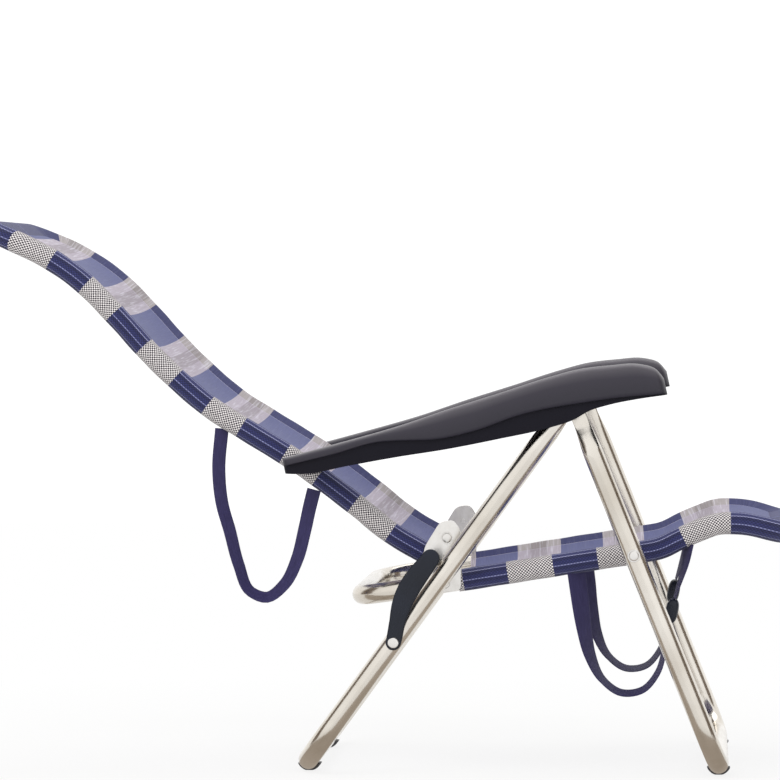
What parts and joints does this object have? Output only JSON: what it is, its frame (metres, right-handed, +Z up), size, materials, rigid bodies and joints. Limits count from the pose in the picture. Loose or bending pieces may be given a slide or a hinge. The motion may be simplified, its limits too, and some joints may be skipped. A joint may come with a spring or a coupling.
{
  "type": "folding lounge chair",
  "caption": "Folding lawn chair with bent tube frame, sling seat, high reclining sling back, notched armrests, folding legs and carry straps.",
  "frame": {"origin": "middle of the bounding box on the floor, with the back let down flat", "axes": "+X towards the front of the seat, +Y to the sitter's left, +Z up"},
  "size_m": [1.1498, 0.6128, 0.7746],
  "materials": {
    "tube": "satin",
    "fittings": "satin",
    "arm_plastic": "fine grained",
    "black_plastic": "smooth",
    "nylon": "plain",
    "plaid_cloth": "woven plaid in navy and grey",
    "webbing": "woven"
  },
  "bodies": {
    "seat": {"seat_rear_hoop": "tube", "seat_front_hoop": "tube", "seat_joint_sleeve_left": "nylon", "seat_joint_sleeve_right": "nylon", "seat_sling": "plaid_cloth", "seat_bracket_left": "fittings", "seat_bracket_right": "fittings", "bracket_bolt_left": "fittings", "bracket_bolt_right": "fittings", "bracket_rivet_left": "fittings", "bracket_rivet_right": "fittings", "link_pin_left": "fittings", "link_pin_right": "fittings", "seat_pivot_left": "fittings", "seat_pivot_right": "fittings", "seat_strap_left": "webbing", "seat_strap_right": "webbing", "strap_tab_left": "webbing", "strap_tab_right": "webbing", "strap_clip_left": "black_plastic", "strap_clip_right": "black_plastic"},
    "front_legs": {"front_leg_hoop": "tube", "apex_pin_left": "fittings", "apex_pin_right": "fittings", "front_glide_left": "black_plastic", "front_glide_right": "black_plastic"},
    "rear_legs": {"rear_leg_hoop": "tube", "rear_glide_left": "black_plastic", "rear_glide_right": "black_plastic"},
    "links": {"link_left": "black_plastic", "link_right": "black_plastic", "link_rivet_left": "fittings", "link_rivet_right": "fittings"},
    "back_pivots": {"back_pin_left": "fittings", "back_pin_right": "fittings"},
    "back": {"back_hoop": "tube", "back_sling": "plaid_cloth", "back_carry_strap": "webbing"},
    "armrest_pivots": {"armrest_pin_left": "fittings", "armrest_pin_right": "fittings"},
    "armrests": {"armrest_left": "arm_plastic", "armrest_right": "arm_plastic", "rack_left": "black_plastic", "rack_right": "black_plastic"}
  },
  "joints": [
    {"name": "frame_fold", "type": "hinge", "parent": "seat", "child": "front_legs", "pos_m": [0.34567, 0, 0.31083], "axis": [0, 1, 0], "range_deg": [0, 75]},
    {"name": "rear_leg_fold", "type": "hinge", "parent": "front_legs", "child": "rear_legs", "pos_m": [0.25885, 0, 0.5278], "axis": [0, -1, 0], "range_deg": [0, 52]},
    {"name": "link_fold", "type": "hinge", "parent": "seat", "child": "links", "pos_m": [0.06287, 0, 0.30523], "axis": [0, -1, 0], "range_deg": [0, 81.2]},
    {"name": "back_fold", "type": "hinge", "parent": "seat", "child": "back_pivots", "pos_m": [0.08107, 0, 0.29543], "axis": [0, 1, 0], "range_deg": [0, 70.1]},
    {"name": "recline", "type": "hinge", "parent": "back_pivots", "child": "back", "pos_m": [0.08107, 0, 0.29543], "axis": [0, 1, 0], "range_deg": [0, 41.7]},
    {"name": "armrest_level", "type": "hinge", "parent": "back", "child": "armrest_pivots", "pos_m": [-0.12033, 0, 0.43248], "axis": [0, -1, 0], "range_deg": [0, 31]},
    {"name": "armrest_lift", "type": "hinge", "parent": "armrest_pivots", "child": "armrests", "pos_m": [-0.12033, 0, 0.43248], "axis": [0, -1, 0], "range_deg": [0, 105.1]}
  ],
  "couplings": [
    {"joint": "rear_leg_fold", "follows": "frame_fold", "ratio": 0.6907},
    {"joint": "link_fold", "follows": "frame_fold", "ratio": 1.0813},
    {"joint": "back_fold", "follows": "frame_fold", "ratio": 0.9333},
    {"joint": "armrest_lift", "follows": "frame_fold", "ratio": 1.4},
    {"joint": "armrest_level", "follows": "recline", "ratio": 0.741}
  ]
}
